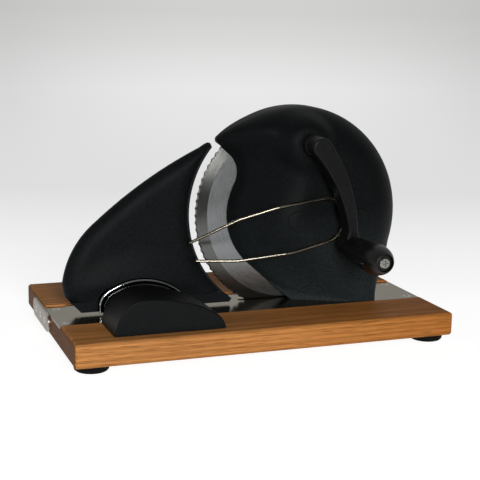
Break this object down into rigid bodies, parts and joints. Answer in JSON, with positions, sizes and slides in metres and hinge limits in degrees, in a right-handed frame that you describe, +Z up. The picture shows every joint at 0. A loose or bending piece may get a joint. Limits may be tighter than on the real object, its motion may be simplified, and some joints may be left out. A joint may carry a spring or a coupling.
{
  "type": "hand crank bread slicer",
  "caption": "Hand crank food slicer: board with steel slide strip, geared round serrated blade in a black housing, sliding stop plate with grip block.",
  "frame": {"origin": "on the floor, under the middle of the whole object's box", "axes": "+X along the board towards the housing's end, +Y towards the side where the bread lies, +Z up"},
  "size_m": [0.357, 0.253, 0.2122],
  "materials": {
    "oak": "satin oiled oak",
    "strip_steel": "brushed stainless sheet",
    "screw_steel": "turned steel",
    "shell_black": "fine textured black",
    "block_black": "satin black",
    "grip_black": "glossy black",
    "foot_rubber": "black rubber",
    "blade_steel": "polished stainless",
    "bright_chrome": "bright chrome",
    "bush_bronze": "sintered bronze",
    "gear_nylon": "natural nylon",
    "gear_steel": "cut steel"
  },
  "bodies": {
    "base": {"base_board": "oak", "slide_sheet": "strip_steel", "sheet_screws": "screw_steel", "end_plate": "strip_steel", "end_plate_screws": "screw_steel", "foot_front_left": "foot_rubber", "foot_front_right": "foot_rubber", "foot_rear_left": "foot_rubber", "foot_rear_right": "foot_rubber", "foot_screws": "screw_steel", "housing": "shell_black", "housing_bolts": "screw_steel", "gear_cover": "strip_steel", "gear_cover_screws": "screw_steel", "crank_bush": "bush_bronze", "axle_bush": "bush_bronze", "deflector_wire": "bright_chrome", "deflector_clamp": "shell_black", "deflector_screw": "screw_steel", "guide_rod_left": "screw_steel", "guide_rod_right": "screw_steel", "rod_clamps": "screw_steel", "rod_clamp_screws": "screw_steel"},
    "blade_set": {"blade": "blade_steel", "blade_axle": "screw_steel", "blade_flange": "screw_steel", "blade_gear": "gear_nylon", "blade_washer": "screw_steel", "blade_screw": "screw_steel"},
    "crank_set": {"crank_arm": "shell_black", "crank_shaft": "screw_steel", "crank_gear": "gear_steel", "crank_collar": "shell_black", "arm_set_screw": "screw_steel", "grip_pin": "screw_steel", "grip_washer": "screw_steel", "grip_screw": "screw_steel"},
    "grip_set": {"grip": "grip_black"},
    "stop_set": {"stop_plate": "shell_black", "guide_face": "shell_black", "neck_screws": "screw_steel", "chrome_bezel": "bright_chrome", "thickness_block": "block_black", "stop_carriage": "shell_black", "post_screws": "screw_steel"}
  },
  "joints": [
    {"name": "blade_spin", "type": "hinge", "parent": "base", "child": "blade_set", "pos_m": [0.0557, 0.0121, 0.1102], "axis": [0, 1, 0], "continuous": true},
    {"name": "crank_spin", "type": "hinge", "parent": "base", "child": "crank_set", "pos_m": [0.0557, -0.0455, 0.1802], "axis": [0, 1, 0], "continuous": true},
    {"name": "grip_spin", "type": "hinge", "parent": "crank_set", "child": "grip_set", "pos_m": [0.0887, -0.0935, 0.087], "axis": [0, 1, 0], "continuous": true},
    {"name": "stop_slide", "type": "slide", "parent": "base", "child": "stop_set", "axis": [0, -1, 0], "range_m": [0, 0.018]}
  ],
  "couplings": [
    {"joint": "crank_spin", "follows": "blade_spin", "ratio": -1.9167}
  ]
}
